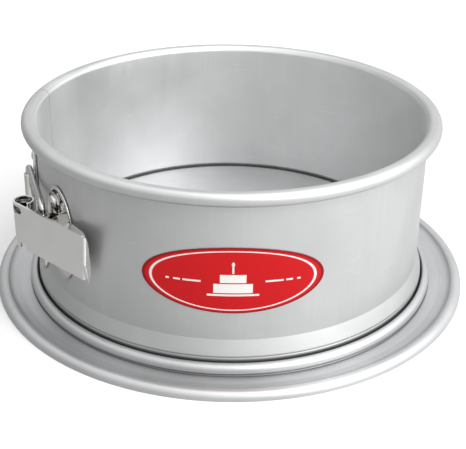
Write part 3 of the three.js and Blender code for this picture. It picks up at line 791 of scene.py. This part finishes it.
def lever_envelope():
    """What is kept of the bent sheet: the plate, and a flap with a toe beside an arch."""
    past = LEVER_FACE + MARGIN
    side, overlap = LEVER_TIP + TIP_CORNER, 0.2 * MM
    flap_top = LEVER_HIGH - 0.4 * MM
    toe = LEVER_FACE - ARCH_DEPTH
    flap = [(flap_top, past)] + quarter_ellipse(FLAP_WAIST, flap_top - FLAP_WAIST, FLAP_DEPTH)
    flap += [(TOE_LOW + MARGIN, toe - TOE_WIDTH), (TOE_LOW, toe - 0.6 * TOE_WIDTH), (TOE_LOW, toe)]
    flap += quarter_ellipse(ARCH_FOOT, ARCH_TOP - ARCH_FOOT, ARCH_DEPTH)[::-1] + [(ARCH_TOP, past)]
    plate = [(LEVER_LOW, 0), (LEVER_LOW, past), (LEVER_HIGH + MARGIN, past), (LEVER_HIGH + MARGIN, 0)]
    whole = raised_along_x("flap", flap, 2 * LEVER_TIP, side + overlap)
    return combine(whole, [raised_along_x("plate", plate, side, 2 * CURL_X)], "UNION")


def top_flange():
    """The flange bent inwards along the top edge at the finger end, widening away from the tip."""
    steps = 10
    back = LEVER_FACE - LEVER_SHEET / 2
    start, length, reach = LEVER_TIP - 0.5 * MM, 15.5 * MM, 4.5 * MM
    edge = [(start + length * t * t, back - reach * t) for t in (i / steps for i in range(steps + 1))]
    return raised("flange", edge + [(start + length, back)], LEVER_HIGH - LEVER_SHEET, LEVER_HIGH)


def curl_window():
    """What is cut from the middle of the curl, where the bracket's knuckle sits."""
    half, clearance = 3.8 * MM, 0.8 * MM
    wedge = [(CURL_X, CURL_Y)] + arc(CURL_X, CURL_Y, CURL_RADIUS + clearance, 10, -205, 24)
    return raised("window", wedge, LATCH_MIDDLE - half, LATCH_MIDDLE + half)


def relief_slot(end, length, height):
    """A round-ended relief slot through the sheet where the curl begins."""
    radius, depth = 1.9 * MM, 3 * MM
    outline = arc(end, -height, radius, 270, 90, 12) + arc(end + length, -height, radius, 90, -90, 12)
    slot = raised("relief", outline, LEVER_FACE - depth, LEVER_FACE + MARGIN)
    return place(slot, Matrix.Rotation(-math.pi / 2, 4, "X"))


def bail_lug(middle):
    """A lug behind the plate with a slot for the bail's bar."""
    bore, travel, half = WIRE_RADIUS + 0.7 * MM, 2.9 * MM, 0.6 * MM
    wall = bore + 1.3 * MM
    back = LEVER_FACE - LEVER_SHEET / 2
    outline = [(BAR_X - wall, back)] + arc(BAR_X, BAR_Y, wall, 180, 270, 10)
    outline += arc(BAR_X + travel, BAR_Y, wall, 270, 360, 10) + [(BAR_X + travel + wall, back)]
    slot = arc(BAR_X, BAR_Y, bore, 90, 270, 14) + arc(BAR_X + travel, BAR_Y, bore, 270, 450, 14)
    lug = raised("lug", outline, middle - half, middle + half)
    return combine(lug, [raised("slot", slot, middle - 2 * half, middle + 2 * half)], "DIFFERENCE")


def make_lever():
    """The bent sheet, trimmed, with its flange, relief slots and lugs, and room for the knuckle."""
    lug_offset = 7.4 * MM
    lever = combine(lever_sheet(), [lever_envelope()], "INTERSECT")
    combine(lever, [top_flange()], "UNION")
    upper_slot = relief_slot(CURL_X - 2.4 * MM, 3.8 * MM, LEVER_HIGH - 3.4 * MM)
    lower_slot = relief_slot(CURL_X - 4.4 * MM, 1.0 * MM, LEVER_LOW + 1.2 * MM)
    combine(lever, [curl_window(), upper_slot, lower_slot], "DIFFERENCE")
    combine(lever, [bail_lug(LATCH_MIDDLE + lug_offset), bail_lug(LATCH_MIDDLE - lug_offset)], "UNION")
    soften(lever, 0.28 * MM)
    place(lever, LEVER_FRAME)
    dress(lever, "lever", "lever_steel", LEVER_STEEL, "lever")


# ---- Bail -------------------------------------------------------------------------------
def bail_path(length):
    """The wire's middle as (along, height, direction along, direction up), once round the loop."""
    bend, half_gap, steps = 4.5 * MM, 1.5 * MM, 16
    top, bottom = BAIL_HIGH - WIRE_RADIUS - bend, BAIL_LOW + WIRE_RADIUS + bend
    near, far = bend, length - bend
    path = [(0, BARREL_MIDDLE + half_gap, 0, 1)]
    for s, z, first in ((near, top, 180), (far, top, 90), (far, bottom, 0), (near, bottom, -90)):
        for i in range(steps + 1):
            angle = math.radians(first - 90 * i / steps)
            path.append((s + bend * math.cos(angle), z + bend * math.sin(angle),
                         math.sin(angle), -math.cos(angle)))
    return path + [(0, BARREL_MIDDLE - half_gap, 0, 1)]


def make_bail():
    """One bent wire from the barrel to the bar in the lever's lugs. Its ends lie in the barrel."""
    sides = 24
    start = polar(BARREL_DISTANCE, BARREL_AZIMUTH)
    reach = LEVER_FRAME @ Vector((BAR_X, BAR_Y, 0)) - start
    along = reach.normalized()
    side = Vector((along.y, -along.x, 0))
    rings = []
    for s, z, forward_s, forward_z in bail_path(reach.length):
        centre = start + along * s + Vector((0, 0, z))
        across = along * forward_z - Vector((0, 0, forward_s))
        rings.append([centre + (across * math.cos(a) + side * math.sin(a)) * WIRE_RADIUS
                      for a in (math.tau * i / sides for i in range(sides))])
    dress(skin("bail_bent", rings), "bail", "bail_steel", WIRE_STEEL, "bail_wire")


# ---- Label ------------------------------------------------------------------------------
def make_label():
    label = curved_oval("label_film", WALL_OUTER + LABEL_GAP, oval_profile(LABEL_SHEET, edge=0.01),
                        LABEL_AZIMUTH, LABEL_MIDDLE, LABEL_HALF_WIDTH, LABEL_HALF_HEIGHT, steps=128)
    dress(label, "ring", "label", LABEL_PRINT, "oval_label")


# ---- Studio -----------------------------------------------------------------------------
def make_floor():
    half = 6.0
    bm = bmesh.new()
    for x, y in ((-half, -half), (half, -half), (half, half), (-half, half)):
        bm.verts.new((x, y, 0.0))
    bm.faces.new(bm.verts)
    floor = finish_mesh("studio_floor", bm)
    n = Surface("studio_white")
    n.set("Base Color", (0.6, 0.6, 0.6, 1))
    n.set("Roughness", 0.9)
    n.set("Specular IOR Level", 0.0)
    floor.data.materials.append(n.material)
    floor.visible_glossy = False


def add_softbox(name, position, size, power):
    """A square light that faces the middle of the pan."""
    light = bpy.data.lights.new(name, "AREA")
    light.shape = "SQUARE"
    light.size = size
    light.energy = power
    lamp = bpy.data.objects.new(name, light)
    lamp.location = position
    lamp.rotation_euler = (Vector((0, 0, 50 * MM)) - lamp.location).to_track_quat("-Z", "Y").to_euler()
    bpy.context.scene.collection.objects.link(lamp)


def make_surroundings():
    """White to the eye; in reflections it brightens to the right and upwards, with a key high there."""
    world = bpy.data.worlds.new("studio")
    world.use_nodes = True
    n = Nodes(world.node_tree)
    direction = n.add("ShaderNodeTexCoord").outputs["Generated"]
    x, y, z = n.add("ShaderNodeSeparateXYZ", {0: direction}).outputs
    low = n.ramp(x, -1, 1, LOW_LEFT, LOW_RIGHT)
    high = n.ramp(x, -1, 1, HIGH_LEFT, HIGH_RIGHT)
    around = n.blend(n.ramp(z, 0.25, 0.65), low, high)
    around = n.maths("MULTIPLY", around, n.ramp(y, 0, 0.7, 1, BEHIND_SHARE))
    towards_key = n.add("ShaderNodeVectorMath", {0: direction, 1: KEY_DIRECTION}, operation="DOT_PRODUCT")
    key = n.ramp(towards_key.outputs["Value"], 0.65, 0.95)
    strength = n.blend(key, around, KEY_STRENGTH)
    to_the_eye = n.add("ShaderNodeLightPath").outputs["Is Camera Ray"]
    background = world.node_tree.nodes["Background"]
    background.inputs["Color"].default_value = (1, 1, 1, 1)
    n.tree.links.new(n.blend(to_the_eye, strength, WHITE_TO_THE_EYE), background.inputs["Strength"])
    bpy.context.scene.world = world


def make_lights():
    add_softbox("softbox_top", (0.0, 0.3, 1.7), 1.4, TOP_POWER)
    add_softbox("softbox_right", (1.3, -0.9, 1.1), 1.2, RIGHT_POWER)
    make_surroundings()
    bpy.context.scene.view_settings.view_transform = "Standard"


def make_camera():
    """Stands in front of the pan, about half a metre away, and looks down at it."""
    elevation, roll = math.radians(26.49), math.radians(0.8)
    distance, aim_height = 551.4 * MM, 35.6 * MM
    camera = bpy.data.cameras.new("camera")
    camera.sensor_width = 36
    camera.lens = 77.176
    camera.shift_x = 0.0050
    camera.shift_y = -0.0410
    camera.clip_start = 10 * MM
    stand = bpy.data.objects.new("camera", camera)
    turn = Matrix.Rotation(math.pi / 2 - elevation, 4, "X") @ Matrix.Rotation(roll, 4, "Z")
    away = Vector((0, -distance * math.cos(elevation), aim_height + distance * math.sin(elevation)))
    stand.matrix_world = Matrix.Translation(away) @ turn
    bpy.context.scene.collection.objects.link(stand)
    bpy.context.scene.camera = stand


make_camera()
make_wall()
make_tongue()
make_base()
make_label()
make_lever_bracket()
make_catch_bracket()
make_rivets()
make_pin()
make_lever()
make_bail()
make_floor()
make_lights()
